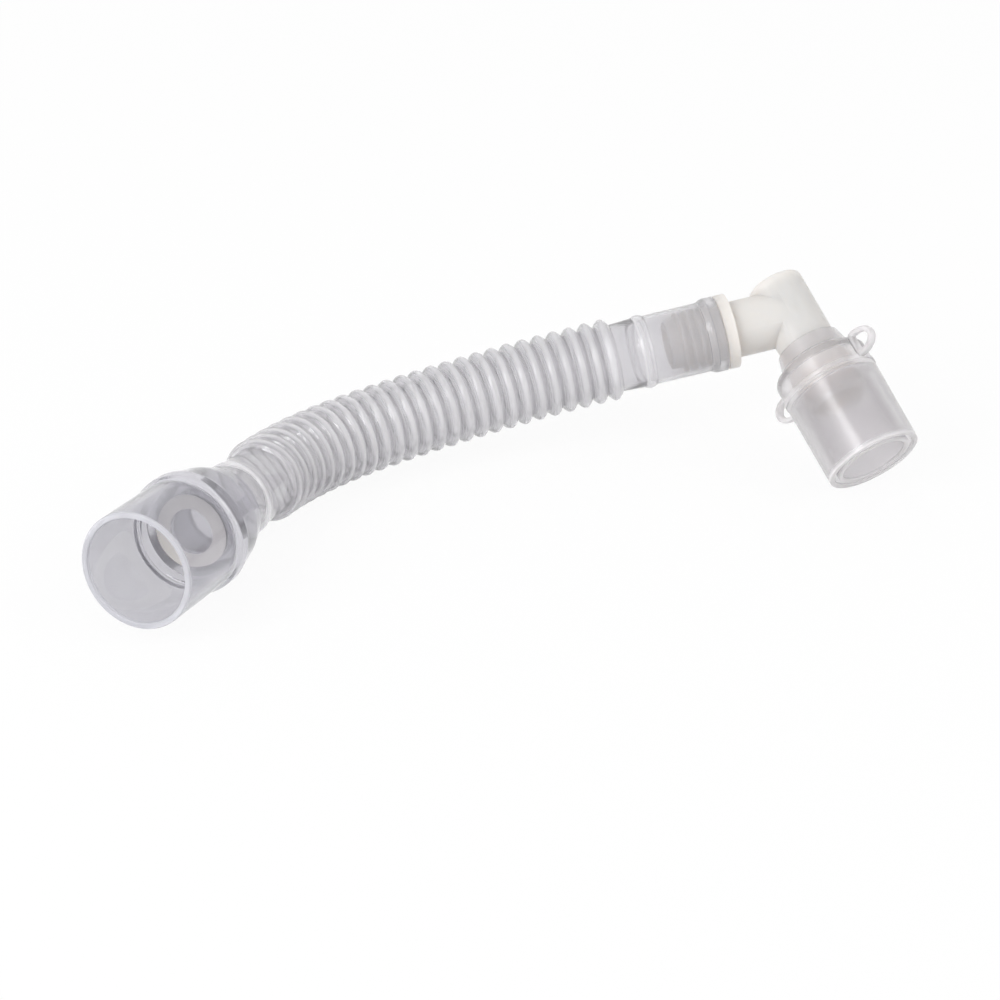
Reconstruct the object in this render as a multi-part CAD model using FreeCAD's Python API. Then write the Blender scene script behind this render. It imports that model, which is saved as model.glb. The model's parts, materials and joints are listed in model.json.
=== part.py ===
import FreeCAD, Part
import math
import os

# Catheter mount: a corrugated breathing tube with a 22 mm socket on one end and,
# on the other, an elbow that swivels in the tube's cuff and carries a swivelling
# 22 mm cone / 15 mm socket. Lengths in millimetres.
#
# The model is laid out with the elbow's corner at the origin, the elbow's arm and
# the first straight length of tube along -X, and the tube's bend in the XY plane.
# It is then turned to the way it rests on a table.

V = FreeCAD.Vector
ORIGIN = V(0, 0, 0)
UP = V(0, 0, 1)
TUBE_START = V(-1, 0, 0)

# Fits
RUNNING_FIT = 0.05
PRESS_FIT = 0.02
FREE_GAP = 0.3
FACE_GAP = 0.1

# Corrugated tube, measured along its centreline from the elbow's corner
RIDGE_COUNT = 26
RIDGE_PITCH = 3.66
FIRST_CREST = 43.3
CREST_RADIUS = 9.49
ROOT_RADIUS = 7.75
WALL = 0.6
OUTER_SIDES = 16
INNER_SIDES = 8
BEND_1_RADIUS = 153.0
BEND_1_ANGLE = math.radians(22.4)
BEND_TOTAL_ANGLE = math.radians(57.5)
CUFF_RADIUS = 8.0
CUFF_BORE = 7.2
BELL_RADIUS = 8.65
BELL_BORE = 8.05
BELL_START = 16.8
BELL_LIP = 2.1
BELL_STRAIGHT = 2.9
BELL_TAPER = 1.2
BELL_DEPTH = 3.8
BUMP_RADIUS = 8.5
BUMP_WIDTH = 2.8
ELBOW_BUMP_GAP = 6.5
SOCKET_BUMP_GAP = 7.1
SOCKET_CUFF_LENGTH = 29.1

# Elbow
ELBOW_ANGLE = 101.2
ELBOW_ROLL = 39.1
ARM_RADIUS = 6.5
ARM_BORE = 4.7
FLANGE_RADIUS = 8.6
FLANGE_WIDTH = 2.6
BEAD_WIDTH = 1.3
CORE_RADIUS = 5.6
PLUG_SIDES = 16
FIN_COUNT = 3
FIN_START = 5.2
FIN_PITCH = 2.1
FIN_WIDTH = 0.7
NOSE_LENGTH = 12.5
NOSE_EDGE = 0.6
LEG_RADIUS = 6.7
LEG_BORE = 5.3
LEG_TOP = -8.7
LEG_CAP = 1.8

# Patient connector, heights measured along the elbow's leg from the corner
NECK_START = 8.4
NECK_RADIUS = 7.9
NECK_HEIGHT = 12.0
NECK_LEDGE = 14.4
CHAMBER_RADIUS = 8.1
MOUTH = 40.3
CONE_LENGTH = 20.4
CONE_RADIUS = 11.1
SHOULDER_RADIUS = 11.4
SHOULDER_HEIGHT = 14.6
GAP_DEPTH = 19.7
GAP_OUTER_RADIUS = 9.9
SLEEVE_RADIUS = 8.9
SOCKET_15_RADIUS = 7.63
SOCKET_15_DEPTH = 16.0
EAR_TURN = 51.4
EAR_REACH = 17.3
EAR_HEIGHT = 6.3
EAR_BAND = 1.3
EAR_ROOT = 0.7
EAR_WIDTH = 2.0
EAR_SIDES = 6

# Machine connector, depths measured from its mouth
SOCKET_22_RADIUS = 11.12
SOCKET_22_DEPTH = 22.0
MACHINE_RADIUS = 12.6
MACHINE_STRAIGHT = 19.6
RIM_RADIUS = 13.2
RIM_START = 20.5
RIM_END = 23.0
REAR_DEPTH = 35.0
REAR_RADIUS = 9.7
WEB_THICKNESS = 1.3
WEB_BORE = 4.9

# Stations that follow from the sizes above
FIRST_ROOT = FIRST_CREST - RIDGE_PITCH / 2
LAST_ROOT = FIRST_ROOT + RIDGE_PITCH * RIDGE_COUNT
BEND_1_END = FIRST_CREST + BEND_1_RADIUS * BEND_1_ANGLE
LAST_CREST = LAST_ROOT - RIDGE_PITCH / 2
ELBOW_BUMP = FIRST_ROOT - ELBOW_BUMP_GAP
SOCKET_CUFF_END = LAST_ROOT + SOCKET_CUFF_LENGTH
MACHINE_MOUTH = SOCKET_CUFF_END + SOCKET_22_DEPTH + WEB_THICKNESS
SOCKET_BUMP = MACHINE_MOUTH - REAR_DEPTH - SOCKET_BUMP_GAP
CONE_START = MOUTH - CONE_LENGTH


def turned(profile):
    """Solid of revolution about Z from a closed outline of (height, radius) points."""
    outline = [V(radius, 0, height) for height, radius in profile]
    outline.append(outline[0])
    return Part.Face(Part.makePolygon(outline)).revolve(ORIGIN, UP, 360)


def placed(shape, origin, direction):
    """Copy of a shape with its Z axis laid along a direction from an origin."""
    copy = shape.copy()
    copy.Placement = FreeCAD.Placement(origin, FreeCAD.Rotation(UP, direction))
    return copy


def heading(station):
    """Angle turned by at a station: none at the first crest, the whole bend at the last.

    The bend is two arcs in one plane, the second tighter than the first.
    """
    if station <= BEND_1_END:
        return (station - FIRST_CREST) / BEND_1_RADIUS
    share = (station - BEND_1_END) / (LAST_CREST - BEND_1_END)
    return BEND_1_ANGLE + share * (BEND_TOTAL_ANGLE - BEND_1_ANGLE)


def direction(angle):
    """Unit vector along the tube once it has turned by an angle."""
    return V(-math.cos(angle), -math.sin(angle), 0)


def centreline():
    """Roots (joints) of the corrugation and the direction of each ridge between them."""
    root = TUBE_START * FIRST_ROOT
    roots = [root]
    directions = []
    for number in range(RIDGE_COUNT):
        along = direction(heading(FIRST_CREST + RIDGE_PITCH * number))
        root = root + along * RIDGE_PITCH
        roots.append(root)
        directions.append(along)
    return roots, directions


def spokes(along, sides):
    """Unit vectors square to a direction in the bend's plane, evenly spread round it."""
    across = V(-along.y, along.x, 0)
    turns = [2 * math.pi * side / sides for side in range(sides)]
    return [across * math.cos(turn) + UP * math.sin(turn) for turn in turns]


def straight_rings(base, along, profile, sides):
    """Polygons round a straight axis, one for each (station, radius) of a profile."""
    rays = spokes(along, sides)
    return [[base + along * at + ray * radius for ray in rays] for at, radius in profile]


def ridge_rings(root_radius, crest_radius, sides):
    """Polygons of one skin of the corrugation, root and crest in turn.

    Each ridge is a pair of straight frusta about its own short axis. The roots lie in the
    planes that halve the angle between neighbouring ridges, so all their faces are flat.
    """
    roots, directions = centreline()
    rings = []
    for number, along in enumerate(directions):
        rays = spokes(along, sides)
        start = roots[number]
        crest = start + along * (RIDGE_PITCH / 2)
        tops = [crest + ray * crest_radius for ray in rays]
        before = directions[number - 1] if number else along
        rings.append(cut_back(tops, [start + ray * root_radius for ray in rays], start, along + before))
        rings.append(tops)
    rings.append([roots[-1] + ray * root_radius for ray in rays])
    return rings


def cut_back(tops, feet, point, normal):
    """Points where the straight lines from tops through feet meet a plane."""
    corners = []
    for top, foot in zip(tops, feet):
        slope = foot - top
        share = normal.dot(point - top) / normal.dot(slope)
        corners.append(top + slope * share)
    return corners


def capped(rings):
    """Closed solid of flat faces through successive rings of points."""
    faces = [Part.Face(Part.makePolygon(ring + [ring[0]])) for ring in (rings[0], rings[-1])]
    for near, far in zip(rings, rings[1:]):
        for side in range(len(near)):
            after = (side + 1) % len(near)
            corners = [near[side], near[after], far[after], far[side], near[side]]
            faces.append(Part.Face(Part.makePolygon(corners)))
    solid = Part.Solid(Part.Shell(faces))
    if solid.Volume < 0:
        solid.reverse()
    return solid


def socket_frame():
    """Placement base and direction of the straight end of the tube, at station zero there."""
    roots, directions = centreline()
    along = direction(BEND_TOTAL_ANGLE)
    return roots[-1] - along * LAST_ROOT, along


def bump(centre):
    """Stations and radii of the low ring that stiffens a cuff."""
    half = BUMP_WIDTH / 2
    return [(centre - half, CUFF_RADIUS), (centre, BUMP_RADIUS), (centre + half, CUFF_RADIUS)]


def corrugated_tube():
    """Bent tube and both its cuffs, one moulding: the outer form less the inner form."""
    base, along = socket_frame()
    rings = straight_rings(ORIGIN, TUBE_START, bump(ELBOW_BUMP), OUTER_SIDES)
    rings += ridge_rings(ROOT_RADIUS, CREST_RADIUS, OUTER_SIDES)
    rings += straight_rings(base, along, bump(SOCKET_BUMP), OUTER_SIDES)
    straight_end = BELL_START + BELL_STRAIGHT
    cuff_end = ELBOW_BUMP - BUMP_WIDTH / 2
    bell = [(BELL_START, 0), (BELL_START, BELL_RADIUS), (straight_end, BELL_RADIUS)]
    bell += [(straight_end + BELL_TAPER, CUFF_RADIUS), (cuff_end, CUFF_RADIUS), (cuff_end, 0)]
    cuff_start = SOCKET_BUMP + BUMP_WIDTH / 2
    cuff = [(cuff_start, 0), (cuff_start, CUFF_RADIUS), (SOCKET_CUFF_END, CUFF_RADIUS)]
    cuff += [(SOCKET_CUFF_END, 0)]
    outer = [placed(turned(bell), ORIGIN, TUBE_START), placed(turned(cuff), base, along)]
    lip_bore = ARM_RADIUS + FREE_GAP
    lip_end = BELL_START + BELL_LIP
    bell_end = BELL_START + BELL_DEPTH
    bore = [(BELL_START - 1, 0), (BELL_START - 1, lip_bore), (lip_end, lip_bore), (lip_end, BELL_BORE)]
    bore += [(bell_end, BELL_BORE), (bell_end, CUFF_BORE), (FIRST_ROOT, CUFF_BORE), (FIRST_ROOT, 0)]
    inner = [placed(turned(bore), ORIGIN, TUBE_START)]
    hole = Part.makeCylinder(CUFF_BORE, SOCKET_CUFF_LENGTH + 1)
    inner.append(placed(hole, base + along * LAST_ROOT, along))
    skin = capped(ridge_rings(ROOT_RADIUS - WALL, CREST_RADIUS - WALL, INNER_SIDES))
    return capped(rings).multiFuse(outer).cut(skin.multiFuse(inner)).Solids[0]


def leg_direction():
    """Direction of the elbow's leg, from its angle with the arm and its roll about the arm."""
    angle = math.radians(ELBOW_ANGLE)
    roll = math.radians(ELBOW_ROLL)
    side = V(0, -math.sin(roll), -math.cos(roll))
    return TUBE_START * math.cos(angle) + side * math.sin(angle)


def plug():
    """Part of the elbow's arm that snaps into the tube's bell: bead, sealing fins and nose."""
    bead_start = BELL_START + BELL_LIP + FACE_GAP
    bead_end = bead_start + BEAD_WIDTH
    nose_end = BELL_START + NOSE_LENGTH
    profile = [(bead_start, BELL_BORE - RUNNING_FIT), (bead_end, BELL_BORE - RUNNING_FIT)]
    profile.append((bead_end, CORE_RADIUS))
    for number in range(FIN_COUNT):
        middle = BELL_START + FIN_START + FIN_PITCH * number
        profile.append((middle - FIN_WIDTH / 2, CORE_RADIUS))
        profile.append((middle, CUFF_BORE - RUNNING_FIT))
        profile.append((middle + FIN_WIDTH / 2, CORE_RADIUS))
    profile += [(nose_end - NOSE_EDGE, CORE_RADIUS), (nose_end, CORE_RADIUS - NOSE_EDGE)]
    return capped(straight_rings(ORIGIN, TUBE_START, profile, PLUG_SIDES))


def elbow():
    """Elbow moulding: an arm with flange and plug for the tube, and a leg with a snap collar.

    The plug and the snap collar are flat-sided.
    """
    flange_end = BELL_START - FACE_GAP
    flange_start = flange_end - FLANGE_WIDTH
    neck_end = BELL_START + BELL_LIP + FACE_GAP
    outline = [(0, 0), (0, ARM_RADIUS), (flange_start, ARM_RADIUS), (flange_start, FLANGE_RADIUS)]
    outline += [(flange_end, FLANGE_RADIUS), (flange_end, ARM_RADIUS), (neck_end, ARM_RADIUS)]
    outline += [(neck_end, 0)]
    arm = placed(turned(outline), ORIGIN, TUBE_START)
    along = leg_direction()
    collar_start = NECK_LEDGE + FACE_GAP
    leg_end = MOUTH - SOCKET_15_DEPTH - FREE_GAP
    collar_radius = SOCKET_15_RADIUS - FREE_GAP
    leg = placed(Part.makeCylinder(LEG_RADIUS, collar_start - LEG_TOP), along * LEG_TOP, along)
    collar_profile = [(collar_start, collar_radius), (leg_end, collar_radius)]
    collar = capped(straight_rings(ORIGIN, TUBE_START, collar_profile, PLUG_SIDES))
    collar = collar.rotated(ORIGIN, TUBE_START.cross(along), ELBOW_ANGLE)
    arm_profile = [(0, ARM_BORE), (BELL_START + NOSE_LENGTH + 1, ARM_BORE)]
    arm_hole = capped(straight_rings(ORIGIN, TUBE_START, arm_profile, PLUG_SIDES))
    top = LEG_TOP + LEG_CAP
    leg_hole = placed(Part.makeCylinder(LEG_BORE, leg_end - top + 1), along * top, along)
    return leg.multiFuse([collar, arm, plug()]).cut(arm_hole.fuse(leg_hole)).Solids[0]


def d_outline(start, reach, low, high, offset):
    """D-shaped outline in the XZ plane: straight from its start, then half round to its reach."""
    radius = (high - low) / 2
    middle = (high + low) / 2
    points = [V(start, offset, low)]
    for step in range(EAR_SIDES + 1):
        turn = math.pi * (step / EAR_SIDES - 0.5)
        points.append(V(reach - radius + radius * math.cos(turn), offset, middle + radius * math.sin(turn)))
    points += [V(start, offset, high), V(start, offset, low)]
    return Part.Face(Part.makePolygon(points))


def ear():
    """Strap ear in the connector's own axes: a D-shaped loop standing out along X."""
    top = CONE_START - FACE_GAP
    low = top - EAR_HEIGHT
    root = SHOULDER_RADIUS + EAR_ROOT
    width = V(0, EAR_WIDTH, 0)
    loop = d_outline(SHOULDER_RADIUS - 2 * EAR_BAND, EAR_REACH, low, top, -EAR_WIDTH / 2)
    hole = d_outline(root, EAR_REACH - EAR_BAND, low + EAR_BAND, top - EAR_BAND, -EAR_WIDTH / 2)
    return loop.cut(hole).extrude(width)


def patient_connector():
    """Swivelling connector: 22 mm cone outside, 15 mm socket in the sleeve inside it."""
    bore = LEG_RADIUS + RUNNING_FIT
    gap_end = MOUTH - GAP_DEPTH
    chamber_end = MOUTH - SOCKET_15_DEPTH
    outline = [(NECK_START, bore), (NECK_START, NECK_RADIUS), (NECK_HEIGHT, NECK_RADIUS)]
    outline += [(SHOULDER_HEIGHT, SHOULDER_RADIUS), (CONE_START, SHOULDER_RADIUS)]
    outline += [(CONE_START, CONE_RADIUS), (MOUTH, CONE_RADIUS), (MOUTH, GAP_OUTER_RADIUS)]
    outline += [(gap_end, GAP_OUTER_RADIUS), (gap_end, SLEEVE_RADIUS), (MOUTH, SLEEVE_RADIUS)]
    outline += [(MOUTH, SOCKET_15_RADIUS), (chamber_end, SOCKET_15_RADIUS), (chamber_end, bore)]
    near = ear()
    far = near.copy()
    far.rotate(ORIGIN, UP, 180)
    chamber_profile = [(-NECK_LEDGE, CHAMBER_RADIUS), (-chamber_end, CHAMBER_RADIUS)]
    chamber = capped(straight_rings(ORIGIN, TUBE_START, chamber_profile, PLUG_SIDES))
    chamber.rotate(ORIGIN, V(0, 1, 0), -90)
    shape = turned(outline).multiFuse([near, far]).cut(chamber).Solids[0]
    along = leg_direction()
    toward_arm = (TUBE_START - along * along.dot(TUBE_START)).normalize()
    x_axis = FreeCAD.Rotation(along, EAR_TURN).multVec(toward_arm)
    shape.Placement = FreeCAD.Placement(ORIGIN, FreeCAD.Rotation(x_axis, along.cross(x_axis), along, "ZXY"))
    return shape


def machine_connector():
    """Connector for the breathing system: 22 mm socket, bored web, and a skirt that grips the cuff."""
    grip = CUFF_RADIUS + PRESS_FIT
    web_back = SOCKET_22_DEPTH + WEB_THICKNESS
    outline = [(0, SOCKET_22_RADIUS), (0, MACHINE_RADIUS), (MACHINE_STRAIGHT, MACHINE_RADIUS)]
    outline += [(RIM_START, RIM_RADIUS), (RIM_END, RIM_RADIUS), (REAR_DEPTH, REAR_RADIUS)]
    outline += [(REAR_DEPTH, grip), (web_back, grip), (web_back, WEB_BORE)]
    outline += [(SOCKET_22_DEPTH, WEB_BORE), (SOCKET_22_DEPTH, SOCKET_22_RADIUS)]
    base, along = socket_frame()
    return placed(turned(outline), base + along * MACHINE_MOUTH, along.negative())


def settled():
    """Placement that rests the model on its three lowest rims, centred over the origin.

    The plane touches the patient connector's mouth, one crest of the tube and the machine
    connector's rim. Each is a circle, whose lowest point depends on the plane's slope, so
    the slope is found by repeating: take the lowest points, lay a plane through them.
    """
    roots, directions = centreline()
    base, along = socket_frame()
    leg = leg_direction()
    crest = roots[20] + directions[20] * (RIDGE_PITCH / 2)
    circles = [(leg * MOUTH, leg, CONE_RADIUS), (crest, directions[20], CREST_RADIUS)]
    circles += [(base + along * (MACHINE_MOUTH - RIM_END), along, RIM_RADIUS)]
    up = V(0.25, -0.25, 0.94).normalize()
    for _ in range(60):
        lowest = []
        for centre, axis, radius in circles:
            down = axis * axis.dot(up) - up
            lowest.append(centre + down.normalize() * radius)
        normal = (lowest[1] - lowest[0]).cross(lowest[2] - lowest[0]).normalize()
        up = normal if normal.dot(up) > 0 else normal.negative()
    x_axis = (V(1, 0, 0) - up * up.x).normalize()
    turn = FreeCAD.Rotation(x_axis, up.cross(x_axis), up, "ZXY").inverted()
    return FreeCAD.Placement(ORIGIN, turn)


def main():
    pieces = {
        "machine_connector": machine_connector(),
        "corrugated_tube": corrugated_tube(),
        "elbow": elbow(),
        "patient_connector": patient_connector(),
    }
    turn = settled()
    for piece in pieces.values():
        piece.Placement = turn.multiply(piece.Placement)
    box = FreeCAD.BoundBox()
    for piece in pieces.values():
        box.add(piece.BoundBox)
    shift = V(-box.Center.x, -box.Center.y, -box.ZMin)
    os.makedirs("parts", exist_ok=True)
    for name, piece in pieces.items():
        piece.translate(shift)
        piece.exportStep("parts/" + name + ".step")
        print(name, piece.isValid(), len(piece.Solids), round(piece.Volume, 1))


main()
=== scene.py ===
import json
import math

import bmesh
import bpy
import numpy as np
from mathutils import Matrix, Vector


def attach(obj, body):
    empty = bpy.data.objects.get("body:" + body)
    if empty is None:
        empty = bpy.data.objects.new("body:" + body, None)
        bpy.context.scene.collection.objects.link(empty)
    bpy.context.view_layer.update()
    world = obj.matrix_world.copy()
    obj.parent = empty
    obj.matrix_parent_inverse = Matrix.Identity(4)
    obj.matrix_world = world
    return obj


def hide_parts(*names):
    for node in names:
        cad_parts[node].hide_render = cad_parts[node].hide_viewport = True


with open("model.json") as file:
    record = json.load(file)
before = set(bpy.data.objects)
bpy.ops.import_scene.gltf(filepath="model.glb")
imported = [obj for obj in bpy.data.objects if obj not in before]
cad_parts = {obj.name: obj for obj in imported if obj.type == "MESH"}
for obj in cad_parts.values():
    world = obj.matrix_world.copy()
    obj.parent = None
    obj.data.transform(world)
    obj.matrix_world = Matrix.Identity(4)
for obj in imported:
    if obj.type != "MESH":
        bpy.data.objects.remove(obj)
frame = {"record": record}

bpy.context.scene.view_settings.view_transform = "Standard"
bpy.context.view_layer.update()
MM = 0.001

# Sizes in millimetres. Stations run along the tube's centreline from the elbow's corner, heights
# along the elbow's leg from the same corner, and depths inwards from the 22 mm socket's mouth.
RIDGE_COUNT = 26
RIDGE_PITCH = 3.66
FIRST_CREST = 43.3
CREST_RADIUS = 9.44
ROOT_RADIUS = 7.75
WALL = 0.55
BEND_1_RADIUS = 153.0
BEND_1_ANGLE = math.radians(22.4)
BEND_TOTAL_ANGLE = math.radians(57.5)
FIRST_ROOT = FIRST_CREST - RIDGE_PITCH / 2
LAST_ROOT = FIRST_ROOT + RIDGE_PITCH * RIDGE_COUNT
CUFF_RADIUS = 8.0
CUFF_BORE = 7.2
BELL_RADIUS = 8.63
BELL_BORE = 8.05
BELL_START = 16.8
BELL_LIP_BORE = 6.8
BUMP_RADIUS = 8.5
ELBOW_BUMP = 34.97
SOCKET_DEPTH = 22.0
SOCKET_CUFF_END = LAST_ROOT + 29.1
MACHINE_MOUTH = SOCKET_CUFF_END + 23.3
SOCKET_BUMP = MACHINE_MOUTH - 42.1
CONNECTOR_MOUTH = 40.3
CONE_LENGTH = 20.4
PATIENT_RADIUS = 11.5
EAR_TURN = math.radians(51.4)
EAR_TIP_RADIUS = 17.3
EAR_WIDTH = 6.3
EAR_BAND = 1.3
SECTION_POWER = 0.6
ARM_PIVOT = 18.0
CENTRELINE_STEP = 0.05
RIDGE_POWER = 1.8
SHARP_EDGE = math.radians(40)
WELD = 1e-7

# Share of each plastic's hazy part: on the tube as (radius, share), elsewhere as (height or depth,
# share), with straight lines between. The low shares are the plastic's own scatter; the raised
# shares make rims, ledges, rings and crests the lightest, and are painted highlight.
TUBE_HAZE_AND_HIGHLIGHT = ((7.7, 0.07), (8.05, 0.1), (8.2, 0.4), (8.6, 0.17), (CREST_RADIUS, 0.42))
BELL_HAZE = 0.25
BELL_HAZE_END = 31
# On the machine connector the raised shares at the mouth rim, the ledge and the far rim are painted
# highlight.
MACHINE_HAZE_AND_HIGHLIGHT = ((0.3, 0.55), (0.9, 0.14), (18.9, 0.1), (19.3, 0.3), (20.4, 0.2), (20.9, 0.1))
MACHINE_HAZE_AND_HIGHLIGHT += ((34.4, 0.1), (34.8, 0.4))
WEB_HAZE = 0.9
# On the patient connector the raised shares at the collar rings and the mouth rim are painted
# highlight.
PATIENT_HAZE_AND_HIGHLIGHT = ((8.4, 0.2), (12.4, 0.2), (12.9, 0.3), (13.6, 0.15), (18.5, 0.15), (18.9, 0.27))
PATIENT_HAZE_AND_HIGHLIGHT += ((19.8, 0.27), (20.4, 0.14), (39.5, 0.13), (40.0, 0.6))
EAR_HAZE = 0.5

# Places, from the frame
joints = {joint["name"]: joint for joint in frame["record"]["behaviour"]["joints"]}
mounts = {mount["name"]: mount for mount in frame["record"]["mounts"]}
ARM = np.array(joints["elbow_swivel"]["axis"])
LEG = np.array(joints["patient_swivel"]["axis"])
CORNER = np.array(joints["elbow_swivel"]["pos_m"]) / MM - ARM * ARM_PIVOT
OUT = np.array(mounts["machine_socket_22f"]["axis"])
SOCKET_MOUTH = np.array(mounts["machine_socket_22f"]["pos_m"]) / MM + OUT * SOCKET_DEPTH / 2
BEND_NORMAL = np.cross(ARM, OUT) / np.linalg.norm(np.cross(ARM, OUT))
BEND_SIDE = np.cross(BEND_NORMAL, ARM)
TOWARD_ARM = ARM - LEG * LEG.dot(ARM)
TOWARD_ARM = TOWARD_ARM / np.linalg.norm(TOWARD_ARM)
EAR_AXIS = TOWARD_ARM * math.cos(EAR_TURN) + np.cross(LEG, TOWARD_ARM) * math.sin(EAR_TURN)


def heading(s):
    """Angle the centreline has turned by: zero, then growing along two arcs, then constant."""
    ends = [FIRST_CREST, FIRST_CREST + BEND_1_RADIUS * BEND_1_ANGLE, LAST_ROOT - RIDGE_PITCH / 2]
    return np.interp(s, ends, [0.0, BEND_1_ANGLE, BEND_TOTAL_ANGLE])


def centreline(s):
    """Points and directions of the tube's centreline at stations s.

    The direction is cos(heading) along the arm plus sin(heading) to the bend's side, and the
    point is the corner plus the running sum of direction times step on a fine grid.
    """
    fine = np.arange(0.0, MACHINE_MOUTH + 5, CENTRELINE_STEP)
    turn = heading(fine + CENTRELINE_STEP / 2)
    along = np.cos(turn)[:, None] * ARM + np.sin(turn)[:, None] * BEND_SIDE
    points = CORNER + np.vstack([np.zeros(3), np.cumsum(along * CENTRELINE_STEP, axis=0)])[:-1]
    at = np.stack([np.interp(s, fine, points[:, axis]) for axis in range(3)], axis=1)
    turn = heading(s)
    return at, np.cos(turn)[:, None] * ARM + np.sin(turn)[:, None] * BEND_SIDE


def set_haze_and_highlight(mesh, values):
    """Writes how much of the plastic's hazy part shows, its raised values being painted highlight:
    one number, or one for each point.
    """
    values = np.broadcast_to(np.asarray(values, float), len(mesh.vertices)).astype(np.float32)
    old = mesh.attributes.get("haze_and_highlight")
    if old:
        mesh.attributes.remove(old)
    mesh.attributes.new("haze_and_highlight", "FLOAT", "POINT").data.foreach_set("value", values)


def stations(mesh, origin, axis):
    """Height along an axis and distance from it of each point, in millimetres."""
    flat = np.empty(len(mesh.vertices) * 3, dtype=np.float32)
    mesh.vertices.foreach_get("co", flat)
    points = flat.reshape(-1, 3) / MM - origin
    height = points @ axis
    return height, np.linalg.norm(points - height[:, None] * axis, axis=1)


def mesh_object(name, vertices, faces, material, haze_and_highlight=1.0):
    """Object at the origin from points in millimetres; welds what meets, turns faces outwards."""
    mesh = bpy.data.meshes.new(name)
    mesh.from_pydata((vertices * MM).tolist(), [], faces)
    set_haze_and_highlight(mesh, haze_and_highlight)
    work = bmesh.new()
    work.from_mesh(mesh)
    bmesh.ops.remove_doubles(work, verts=work.verts, dist=WELD)
    bmesh.ops.recalc_face_normals(work, faces=work.faces)
    work.to_mesh(mesh)
    work.free()
    mesh.materials.append(material)
    mesh.shade_smooth()
    mesh.set_sharp_from_angle(angle=SHARP_EDGE)
    thing = bpy.data.objects.new(name, mesh)
    bpy.context.scene.collection.objects.link(thing)
    return thing


def grid_faces(rows, columns):
    """Quads of a grid of points that closes on itself both ways."""
    r, c = np.meshgrid(np.arange(rows), np.arange(columns), indexing="ij")
    r2 = (r + 1) % rows
    c2 = (c + 1) % columns
    quads = np.stack([r * columns + c, r2 * columns + c, r2 * columns + c2, r * columns + c2], axis=-1)
    return quads.reshape(-1, 4).tolist()


def rounded(outline, radius, steps=4):
    """Closed outline with each corner replaced by a parabolic fillet.

    A corner is cut at a distance of radius, or 0.4 of the shorter side, and the points between
    are (1-t)^2 times the first cut, 2t(1-t) times the corner and t^2 times the second cut. A
    further point on each side, a fifth of the cut further out, keeps the flats shaded flat.
    """
    p = np.array(outline, float)
    before = np.roll(p, 1, axis=0) - p
    after = np.roll(p, -1, axis=0) - p
    lengths = np.stack([np.linalg.norm(before, axis=1), np.linalg.norm(after, axis=1)])
    reach = np.minimum(radius, 0.4 * lengths.min(axis=0))
    before = before * (reach / lengths[0])[:, None]
    after = after * (reach / lengths[1])[:, None]
    t = np.linspace(0, 1, steps + 1)[None, :, None]
    start = (p + before)[:, None]
    end = (p + after)[:, None]
    curve = (1 - t) ** 2 * start + 2 * t * (1 - t) * p[:, None] + t**2 * end
    curve = np.concatenate([(p + 1.2 * before)[:, None], curve, (p + 1.2 * after)[:, None]], axis=1)
    return curve.reshape(-1, 2)


def divided(outline, longest):
    """The same closed outline with further points, so that no side is longer than longest."""
    p = np.vstack([outline, outline[:1]])
    run = np.concatenate([[0], np.cumsum(np.linalg.norm(np.diff(p, axis=0), axis=1))])
    extra = np.arange(0, run[-1], longest)
    extra = extra[np.abs(extra[:, None] - run[None]).min(axis=1) > longest / 3]
    at = np.sort(np.concatenate([run[:-1], extra]))
    return np.stack([np.interp(at, run, p[:, 0]), np.interp(at, run, p[:, 1])], axis=1)


def lathe(name, outline, origin, axis, material, sides=160):
    """Surface of revolution: origin + height * axis + radius * (cos a * u + sin a * v)."""
    u = np.cross(axis, [0.3, 0.5, 0.8])
    u = u / np.linalg.norm(u)
    v = np.cross(axis, u)
    a = np.linspace(0, 2 * np.pi, sides, endpoint=False)
    spokes = np.cos(a)[:, None] * u + np.sin(a)[:, None] * v
    outline = np.array(outline)
    radii = np.maximum(outline[:, 1, None, None], 0.0)
    points = origin + outline[:, 0, None, None] * axis + radii * spokes[None]
    return mesh_object(name, points.reshape(-1, 3), grid_faces(len(outline), sides), material)


def bent(name, outline, material, sides=112):
    """The same surface carried along the bent centreline instead of a straight axis.

    The hazy share grows with the radius, so that the crests and rings are the lightest: painted
    highlight on top of the plastic's own scatter. It is stronger in the bell.
    """
    at, along = centreline(outline[:, 0])
    across = np.cross(BEND_NORMAL, along)
    a = np.linspace(0, 2 * np.pi, sides, endpoint=False)
    spokes = across[:, None] * np.cos(a)[None, :, None] + BEND_NORMAL * np.sin(a)[None, :, None]
    points = at[:, None] + outline[:, 1, None, None] * spokes
    # Raised shares at the rings and crests paint highlight.
    levels = np.interp(outline[:, 1], *np.array(TUBE_HAZE_AND_HIGHLIGHT).T)
    levels = np.where(outline[:, 0] < BELL_HAZE_END, np.maximum(levels, BELL_HAZE), levels)
    levels = np.repeat(levels, sides)
    faces = grid_faces(len(outline), sides)
    return mesh_object(name, points.reshape(-1, 3), faces, material, levels)


def combined(base, others, operation):
    """Joins other closed pieces to a closed piece, or takes them away, and drops them."""
    for other in others:
        step = base.modifiers.new(operation, "BOOLEAN")
        step.operation = operation
        step.solver = "EXACT"
        step.object = other
    bpy.context.view_layer.update()
    evaluated = base.evaluated_get(bpy.context.evaluated_depsgraph_get())
    mesh = bpy.data.meshes.new_from_object(evaluated)
    base.modifiers.clear()
    base.data = mesh
    mesh.shade_smooth()
    mesh.set_sharp_from_angle(angle=SHARP_EDGE)
    for other in others:
        bpy.data.objects.remove(other)
    return base


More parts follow.
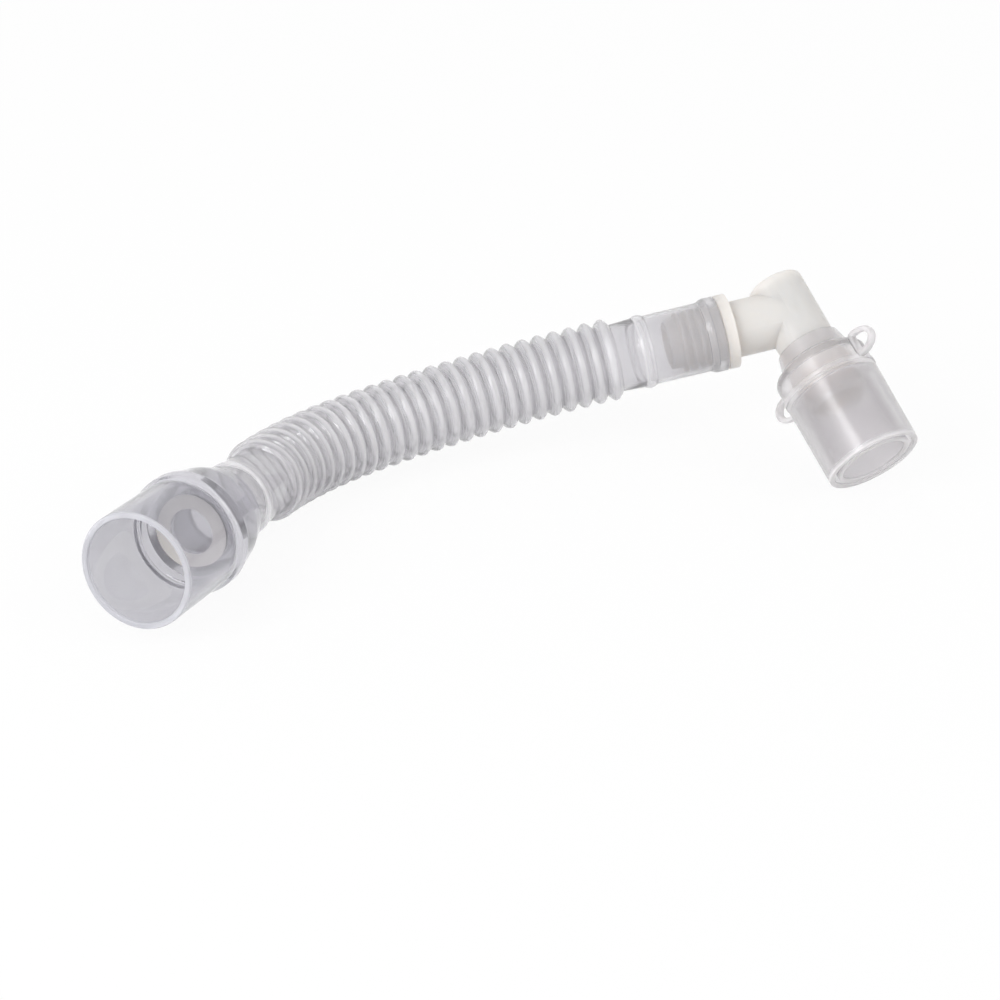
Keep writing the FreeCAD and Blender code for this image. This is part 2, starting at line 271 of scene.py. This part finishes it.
def ridges(inset, steps=14):
    """Stations and radii of the corrugation.

    The height is one minus the distance from the crest, in half pitches, to a power of 1.8, so
    that crests are round and roots are sharp.
    """
    u = np.arange(RIDGE_COUNT * steps + 1) / steps
    off = 2 * np.abs(u - np.floor(u) - 0.5)
    height = (CREST_RADIUS - ROOT_RADIUS) * (1 - off**RIDGE_POWER)
    return np.stack([FIRST_ROOT + u * RIDGE_PITCH, ROOT_RADIUS - inset + height], axis=1)


def bump(centre):
    """Low stiffening ring on a cuff, 3 mm wide: the root of a raised cosine, so flat on top."""
    half = 1.5
    s = np.linspace(-half, half, 15)
    raised = np.clip(0.5 + 0.5 * np.cos(np.pi * s / half), 0, 1)
    height = (BUMP_RADIUS - CUFF_RADIUS) * np.sqrt(raised)
    return np.stack([centre + s, CUFF_RADIUS + height], axis=1)


def tube_outline():
    """Outer skin from bell to far cuff, then the inner skin back again, as (station, radius)."""
    start = BELL_START
    lead = [(start, BELL_LIP_BORE), (start, 8.4), (start + 0.25, BELL_RADIUS)]
    lead += [(start + 2.7, BELL_RADIUS), (start + 3.0, 8.55), (start + 4.0, 8.06)]
    lead += [(start + 4.4, CUFF_RADIUS), (33.0, CUFF_RADIUS)]
    end = SOCKET_CUFF_END
    tail = [(149.0, CUFF_RADIUS), (end - 0.4, CUFF_RADIUS), (end, 7.85), (end, CUFF_BORE)]
    tail += [(LAST_ROOT + 2, CUFF_BORE)]
    back = [(39.0, CUFF_BORE), (start + 3.8, CUFF_BORE), (start + 3.8, BELL_BORE)]
    back += [(start + 2.1, BELL_BORE), (start + 2.1, BELL_LIP_BORE)]
    outer = [lead, bump(ELBOW_BUMP), ridges(0.0), bump(SOCKET_BUMP), tail]
    return np.vstack([*outer, ridges(WALL)[::-1], back])


def ear(name, side, material):
    """Strap ear: a rounded 1.3 x 2 mm section carried round a D-shaped loop.

    The loop is straight along the connector's wall and a half ellipse outwards; the section is
    a superellipse, cos and sin of the angle to the power 0.6, with the signs kept.
    """
    top = CONNECTOR_MOUTH - CONE_LENGTH - 0.1
    half = EAR_WIDTH / 2
    band = EAR_BAND / 2
    start = 11.9
    a = np.linspace(-np.pi / 2, np.pi / 2, 33)
    reach = EAR_TIP_RADIUS - band - start
    arc = np.stack([start + reach * np.cos(a) ** 0.85, (half - band) * np.sin(a)], axis=1)
    root = np.linspace(half - band, band - half, 12)[1:-1]
    path = np.vstack([arc, np.stack([np.full(10, 11.5), root], axis=1)])
    tangent = np.roll(path, -1, axis=0) - np.roll(path, 1, axis=0)
    tangent = tangent / np.linalg.norm(tangent, axis=1)[:, None]
    normal = np.stack([tangent[:, 1], -tangent[:, 0]], axis=1)
    b = np.linspace(0, 2 * np.pi, 20, endpoint=False)
    over = band * np.sign(np.cos(b)) * np.abs(np.cos(b)) ** SECTION_POWER
    wide = np.sign(np.sin(b)) * np.abs(np.sin(b)) ** SECTION_POWER
    flat = path[:, None] + normal[:, None] * over[None, :, None]
    x_axis = EAR_AXIS * side
    y_axis = np.cross(LEG, x_axis)
    points = CORNER + flat[..., 0, None] * x_axis + (top - half + flat[..., 1, None]) * LEG
    points = points + wide[None, :, None] * y_axis
    return mesh_object(name, points.reshape(-1, 3), grid_faces(len(path), len(b)), material)


def colour(hex_code):
    """sRGB hex to the linear colour that sockets take."""
    value = [int(hex_code[i : i + 2], 16) / 255 for i in (1, 3, 5)]
    return [c / 12.92 if c <= 0.04045 else ((c + 0.055) / 1.055) ** 2.4 for c in value] + [1.0]


def node(tree, kind, settings=None, links=None):
    """Adds a node, sets inputs by name or number or else properties, and links inputs."""
    made = tree.nodes.new(kind)
    for name, value in (settings or {}).items():
        if isinstance(name, int) or name in made.inputs.keys():
            made.inputs[name].default_value = value
        else:
            setattr(made, name, value)
    for name, source in (links or {}).items():
        tree.links.new(source, made.inputs[name])
    return made


def plastic(name, glaze, body, shades, tones, grain, relief):
    """Moulded plastic: a clear, glossy part mixed with a hazy part that scatters light.

    glaze and body are the settings of the two shaders; the mesh's attribute for the hazy part says
    how much of the second shows, and its raised values are painted highlight. shades are the two
    colours that the clear part drifts between, tones those of the hazy part, grain the size in
    millimetres of the drift and of the surface unevenness, and relief the height of that
    unevenness.
    """
    material = bpy.data.materials.new(name)
    material.use_nodes = True
    tree = material.node_tree
    tree.nodes.clear()
    place = {"Vector": node(tree, "ShaderNodeTexCoord").outputs["Object"]}
    settings = {"Scale": 1 / (grain[0] * MM), "Detail": 2.0}
    drift = node(tree, "ShaderNodeTexNoise", settings, place)
    settings = {"Scale": 1 / (grain[1] * MM), "Detail": 3.0}
    fine = node(tree, "ShaderNodeTexNoise", settings, place)
    raised = node(tree, "ShaderNodeBump", {"Distance": relief * MM}, {"Height": fine.outputs["Fac"]})
    normal = raised.outputs["Normal"]
    # Hazy share from the mesh; its raised values paint highlight on rims, rings and crests.
    haze_and_highlight = node(tree, "ShaderNodeAttribute", {"attribute_name": "haze_and_highlight"}).outputs["Fac"]
    made = []
    for settings, ends in ((glaze, shades), (body, tones)):
        blend = {"data_type": "RGBA", 6: colour(ends[0]), 7: colour(ends[1])}
        tone = node(tree, "ShaderNodeMix", blend, {"Factor": drift.outputs["Fac"]})
        links = {"Base Color": tone.outputs[2], "Normal": normal}
        made.append(node(tree, "ShaderNodeBsdfPrincipled", settings, links).outputs["BSDF"])
    mix = node(tree, "ShaderNodeMixShader", links={0: haze_and_highlight, 1: made[0], 2: made[1]})
    node(tree, "ShaderNodeOutputMaterial", links={"Surface": mix.outputs[0]})
    return material


def clear_rigid():
    """Injection-moulded clear polypropylene: crisp highlights, a grey tint that is partly painted
    shade, and light rims that are painted highlight.
    """
    glaze = {"Roughness": 0.06, "IOR": 1.45, "Transmission Weight": 1.0}
    body = {"Roughness": 0.25, "IOR": 1.45}
    # This grey tint is partly the plastic's own and partly painted shade for the dim inside of the
    # connector.
    shades = ("#cccbd0", "#dcdbe0")
    tones = ("#e6e6ee", "#f0f0f6")
    return plastic("clear_polypropylene_moulded", glaze, body, shades, tones, (9.0, 2.5), 0.006)


def frosted_rigid():
    """The same polypropylene from a satin mould: broad, soft highlights and a blurred inside."""
    glaze = {"Roughness": 0.22, "IOR": 1.45, "Transmission Weight": 1.0}
    body = {"Roughness": 0.3, "IOR": 1.45}
    shades = ("#f6f4f6", "#fcfbfc")
    tones = ("#f5f2f4", "#faf8f9")
    return plastic("satin_polypropylene_moulded", glaze, body, shades, tones, (9.0, 2.0), 0.006)


def soft_wall():
    """Blown flexible polyethylene: see-through cuffs, crests made pale by painted highlight, and a
    slightly wavy skin.
    """
    glaze = {"Roughness": 0.1, "IOR": 1.45, "Transmission Weight": 1.0}
    body = {"Roughness": 0.16, "IOR": 1.45}
    shades = ("#e8e7ea", "#f4f3f5")
    tones = ("#f0eff2", "#f8f7f9")
    return plastic("translucent_polyethylene_blown", glaze, body, shades, tones, (6.0, 2.0), 0.03)


def hazy_web():
    """Polypropylene from a frosted mould face: a matt, warm disc at the socket's bottom."""
    glaze = {"Roughness": 0.5, "IOR": 1.45, "Transmission Weight": 1.0}
    body = {"Roughness": 0.5, "IOR": 1.45}
    shades = ("#f4f1ee", "#fbf8f5")
    tones = ("#fbf7f2", "#f5f1ec")
    return plastic("frosted_polypropylene_moulded", glaze, body, shades, tones, (6.0, 1.0), 0.01)


def milky_rigid():
    """Natural moulded polypropylene: warm milky white, with edges softened by scattered light."""
    glaze = {"Roughness": 0.4, "IOR": 1.49, "Transmission Weight": 1.0}
    body = {"Roughness": 0.4, "IOR": 1.49, "Subsurface Weight": 0.9, "Subsurface Scale": 1.0}
    body["Subsurface Radius"] = (0.007, 0.0064, 0.0058)
    tones = ("#f1e7df", "#eee4dc")
    return plastic("milky_polypropylene_moulded", glaze, body, tones, tones, (8.0, 1.2), 0.008)


CLEAR = clear_rigid()
SATIN = frosted_rigid()
SOFT = soft_wall()
WEB = hazy_web()
MILKY = milky_rigid()

# Outlines below are (depth, radius) for the machine connector and its web, (height, radius) for
# the elbow's leg and the patient connector, and (station, radius) for the elbow's arm.
tube = bent("tube_wall", tube_outline(), SOFT)
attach(tube, "tube")
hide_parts("corrugated_tube")

machine_outline = [(0, 11.24), (0, 12.6), (19.2, 12.5), (20.6, 13.15), (23.0, 13.2), (23.5, 12.95)]
machine_outline += [(30.0, 11.5), (35, 9.7), (35, 8.03), (23.3, 8.03), (23.3, 4.9), (22.0, 4.9)]
machine_outline += [(22.0, 10.3), (20.4, 10.3), (20.0, 11.02)]
machine = lathe("machine_body", divided(rounded(machine_outline, 0.4), 0.8), SOCKET_MOUTH, -OUT, CLEAR)
depth, radius = stations(machine.data, SOCKET_MOUTH, -OUT)
# The raised shares at the rims and the ledge paint highlight.
set_haze_and_highlight(machine.data, np.interp(depth, *np.array(MACHINE_HAZE_AND_HIGHLIGHT).T))
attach(machine, "tube")
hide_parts("machine_connector")

web_outline = [(21.8, 5.0), (21.95, 5.0), (21.95, 8.0), (21.8, 8.0)]
web = lathe("web_face", rounded(web_outline, 0.04), SOCKET_MOUTH, -OUT, WEB)
set_haze_and_highlight(web.data, WEB_HAZE)
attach(web, "tube")

leg_outline = [(-8.7, -0.5), (-8.7, 6.7), (14.5, 6.7), (14.5, 7.33), (24.0, 7.33), (24.0, -0.5)]
leg = lathe("elbow_body", rounded(leg_outline, 1.1, 6), CORNER, LEG, MILKY)
arm_outline = [(0, -0.5), (0, 6.5), (14.1, 6.5), (14.1, 8.6), (16.7, 8.6), (16.7, 6.5), (19.0, 6.5)]
arm_outline += [(19.0, 7.98), (20.3, 7.98), (20.3, 5.7), (21.6, 5.7), (21.6, 7.12), (22.3, 7.12)]
arm_outline += [(22.3, 5.7), (23.7, 5.7), (23.7, 7.12), (24.4, 7.12), (24.4, 5.7), (25.8, 5.7)]
arm_outline += [(25.8, 7.12), (26.5, 7.12), (26.5, 5.8), (29.3, 5.6), (29.3, -0.5)]
arm = lathe("arm", rounded(arm_outline, 0.35), CORNER, ARM, MILKY)
arm_bore = lathe("arm_bore", [(0, -1), (0, 4.7), (35, 4.7), (35, -1)], CORNER, ARM, MILKY)
leg_bore = lathe("leg_bore", [(-6.9, -1), (-6.9, 5.3), (30, 5.3), (30, -1)], CORNER, LEG, MILKY)
combined(leg, [arm], "UNION")
combined(leg, [arm_bore, leg_bore], "DIFFERENCE")
set_haze_and_highlight(leg.data, 1.0)
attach(leg, "elbow")
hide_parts("elbow")

patient_outline = [(8.4, 6.78), (8.4, 7.45), (12.1, 8.4), (12.7, 9.0), (13.6, 10.5), (14.6, 11.1)]
patient_outline += [(18.6, 11.12), (18.8, 11.4), (19.75, 11.4), (19.95, 11.2), (40.3, 11.02)]
patient_outline += [(40.3, 9.9), (20.6, 9.8), (20.6, 8.95), (40.3, 8.85), (40.3, 7.72)]
patient_outline += [(24.2, 7.55), (14.4, 7.63), (14.4, 6.78)]
patient = lathe("patient_body", divided(rounded(patient_outline, 0.3), 0.8), CORNER, LEG, SATIN)
ears = [ear("ear_a", 1, SATIN), ear("ear_b", -1, SATIN)]
combined(patient, ears, "UNION")
height, radius = stations(patient.data, CORNER, LEG)
# The raised shares at the collar rings and the mouth rim paint highlight.
levels = np.interp(height, *np.array(PATIENT_HAZE_AND_HIGHLIGHT).T)
set_haze_and_highlight(patient.data, np.where(radius > PATIENT_RADIUS, EAR_HAZE, levels))
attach(patient, "patient_end")
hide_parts("patient_connector")

WHITE = "#ffffff"
AMBIENT = 0.66
FLOOR_WHITE = 0.93
FLOOR_HEIGHT = -0.0002
CAMERA_PLACE = (-0.12434973, -0.55574531, 0.32872362)
CAMERA_RIGHT = (0.98141812, -0.18324585, 0.05699089)
CAMERA_DOWN = (-0.04209973, -0.49530122, -0.86769604)


def seen_directly(tree):
    """One where a ray comes from the camera, a reflection or a refraction, else zero."""
    path = node(tree, "ShaderNodeLightPath")
    links = {0: path.outputs["Is Camera Ray"], 1: path.outputs["Is Glossy Ray"]}
    first = node(tree, "ShaderNodeMath", {"operation": "MAXIMUM"}, links)
    links = {0: first.outputs[0], 1: path.outputs["Is Transmission Ray"]}
    return node(tree, "ShaderNodeMath", {"operation": "MAXIMUM"}, links).outputs[0]


def studio():
    """White surroundings and a white floor that keeps the object's shadow.

    Both are plain white where seen; what lights the object from them is dimmer.
    """
    world = bpy.data.worlds.new("studio")
    bpy.context.scene.world = world
    world.use_nodes = True
    tree = world.node_tree
    tree.nodes.clear()
    dim = node(tree, "ShaderNodeBackground", {"Color": colour(WHITE), "Strength": AMBIENT})
    white = node(tree, "ShaderNodeBackground", {"Color": colour(WHITE), "Strength": 1.0})
    links = {0: seen_directly(tree), 1: dim.outputs[0], 2: white.outputs[0]}
    mix = node(tree, "ShaderNodeMixShader", links=links)
    node(tree, "ShaderNodeOutputWorld", links={"Surface": mix.outputs[0]})
    mesh = bpy.data.meshes.new("floor")
    corners = [(-1.5, -1.5, 0), (1.5, -1.5, 0), (1.5, 1.5, 0), (-1.5, 1.5, 0)]
    mesh.from_pydata(corners, [], [(0, 1, 2, 3)])
    floor = bpy.data.objects.new("floor", mesh)
    bpy.context.scene.collection.objects.link(floor)
    floor.location.z = FLOOR_HEIGHT
    material = bpy.data.materials.new("floor_paper")
    material.use_nodes = True
    tree = material.node_tree
    tree.nodes.clear()
    paper = node(tree, "ShaderNodeBsdfDiffuse", {"Color": colour("#f8f8f8")})
    glow = node(tree, "ShaderNodeEmission", {"Color": colour(WHITE), "Strength": 1.0})
    settings = {"operation": "MULTIPLY", 1: FLOOR_WHITE}
    share = node(tree, "ShaderNodeMath", settings, {0: seen_directly(tree)})
    links = {0: share.outputs[0], 1: paper.outputs[0], 2: glow.outputs[0]}
    mix = node(tree, "ShaderNodeMixShader", links=links)
    node(tree, "ShaderNodeOutputMaterial", links={"Surface": mix.outputs[0]})
    mesh.materials.append(material)


def lamp(name, place, width, height, power):
    """Upright strip light that faces the object."""
    light = bpy.data.lights.new(name, "AREA")
    light.shape = "RECTANGLE"
    light.size = width
    light.size_y = height
    light.energy = power
    thing = bpy.data.objects.new(name, light)
    thing.location = place
    thing.rotation_mode = "QUATERNION"
    thing.rotation_quaternion = (Vector((0, 0, 0)) - Vector(place)).to_track_quat("-Z", "Y")
    bpy.context.scene.collection.objects.link(thing)


def camera():
    """Camera at the photograph's viewing angle: its place, its right and its down."""
    data = bpy.data.cameras.new("camera")
    data.sensor_width = 36
    data.lens = 108
    data.clip_start = 0.01
    thing = bpy.data.objects.new("camera", data)
    right = Vector(CAMERA_RIGHT)
    down = Vector(CAMERA_DOWN)
    ahead = right.cross(down)
    turn = Matrix((right, -down, -ahead)).transposed().to_4x4()
    thing.matrix_world = Matrix.Translation(CAMERA_PLACE) @ turn
    bpy.context.scene.collection.objects.link(thing)
    bpy.context.scene.camera = thing


studio()
lamp("key", (-0.9, -0.45, 0.6), 0.2, 0.8, 4.6)
lamp("front", (-0.7, -0.65, 0.5), 0.15, 0.7, 2.4)
lamp("fill", (0.7, -0.3, 0.6), 0.25, 0.8, 1.6)
camera()
